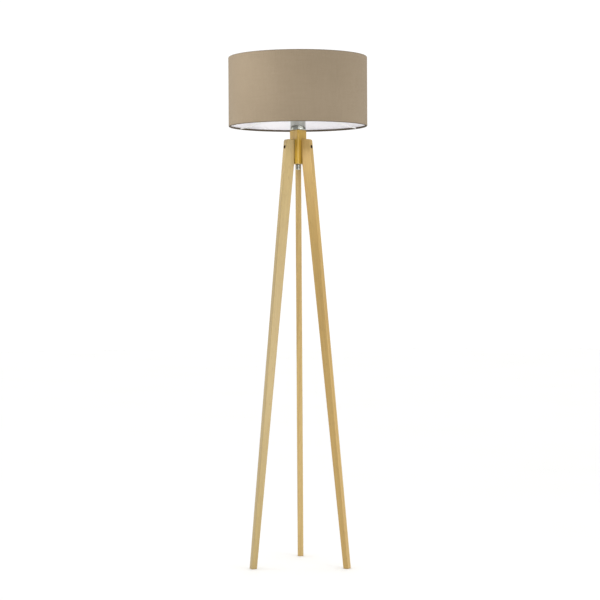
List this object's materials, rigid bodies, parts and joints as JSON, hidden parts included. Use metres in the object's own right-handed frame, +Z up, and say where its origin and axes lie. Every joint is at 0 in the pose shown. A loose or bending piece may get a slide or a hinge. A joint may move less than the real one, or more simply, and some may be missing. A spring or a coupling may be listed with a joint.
{
  "type": "tripod floor lamp",
  "caption": "Floor lamp with tapered wooden plank legs bolted round a wooden hub, a metal screw lampholder and a taupe fabric drum shade with a white liner.",
  "frame": {"origin": "on the lamp's vertical axis at floor level", "axes": "+Z up along the lamp's axis; front (a rounded corner of the hub, with one leg hidden behind it) towards -Y, +X to the right seen from the front"},
  "size_m": [0.4, 0.4, 1.465],
  "materials": {
    "oiled_wood": "clear satin lacquer on pale softwood-like timber, straight grain",
    "dowel_wood": "plain fluted beech",
    "chrome": "bright plated, slightly satin",
    "zinc_steel": "zinc plated",
    "brass": "plain stamped brass",
    "black_steel": "black oxide",
    "ceramic": "white glazed insulator",
    "nylon": "translucent nylon",
    "white_steel": "white powder coat on steel wire",
    "taupe_fabric": "plain woven taupe textile",
    "white_liner": "white laminated sheet",
    "opal_glass": "opal, etched inside"
  },
  "bodies": {
    "stand": {"hub_block": "oiled_wood", "leg_left": "oiled_wood", "leg_screw_left": "black_steel", "hub_insert_nut_left": "zinc_steel", "leg_dowel_left": "dowel_wood", "leg_right": "oiled_wood", "leg_screw_right": "black_steel", "hub_insert_nut_right": "zinc_steel", "leg_dowel_right": "dowel_wood", "leg_back": "oiled_wood", "leg_screw_back": "black_steel", "hub_insert_nut_back": "zinc_steel", "leg_dowel_back": "dowel_wood", "threaded_tube": "zinc_steel", "cable_gland": "chrome", "gland_grip_screw": "nylon", "lampholder_cup": "chrome", "earth_screw": "zinc_steel", "tube_locknut": "zinc_steel", "lampholder_core": "ceramic", "screw_shell": "brass", "centre_contact": "brass", "terminal_block_live": "brass", "terminal_block_neutral": "brass", "terminal_screw_live": "zinc_steel", "terminal_screw_neutral": "zinc_steel", "lampholder_sleeve": "chrome"},
    "shade": {"shade_fabric": "taupe_fabric", "shade_liner": "white_liner", "shade_ring_bottom": "white_steel", "shade_ring_top": "white_steel", "shade_fitter_ring": "white_steel", "shade_spoke_front": "white_steel", "shade_spoke_left": "white_steel", "shade_spoke_right": "white_steel"},
    "clamp_ring": {"shade_clamp_ring": "chrome"},
    "bulb": {"bulb_cap": "zinc_steel", "bulb_glass": "opal_glass"}
  },
  "joints": [
    {"name": "shade_turn", "type": "hinge", "parent": "stand", "child": "shade", "pos_m": [0, 0, 1.2983], "axis": [0, 0, 1], "continuous": true},
    {"name": "clamp_ring_turn", "type": "hinge", "parent": "stand", "child": "clamp_ring", "pos_m": [0, 0, 1.3001], "axis": [0, 0, 1], "range_deg": [0, 720]},
    {"name": "bulb_turn", "type": "hinge", "parent": "stand", "child": "bulb", "pos_m": [0, 0, 1.2835], "axis": [0, 0, 1], "range_deg": [0, 1080]}
  ]
}
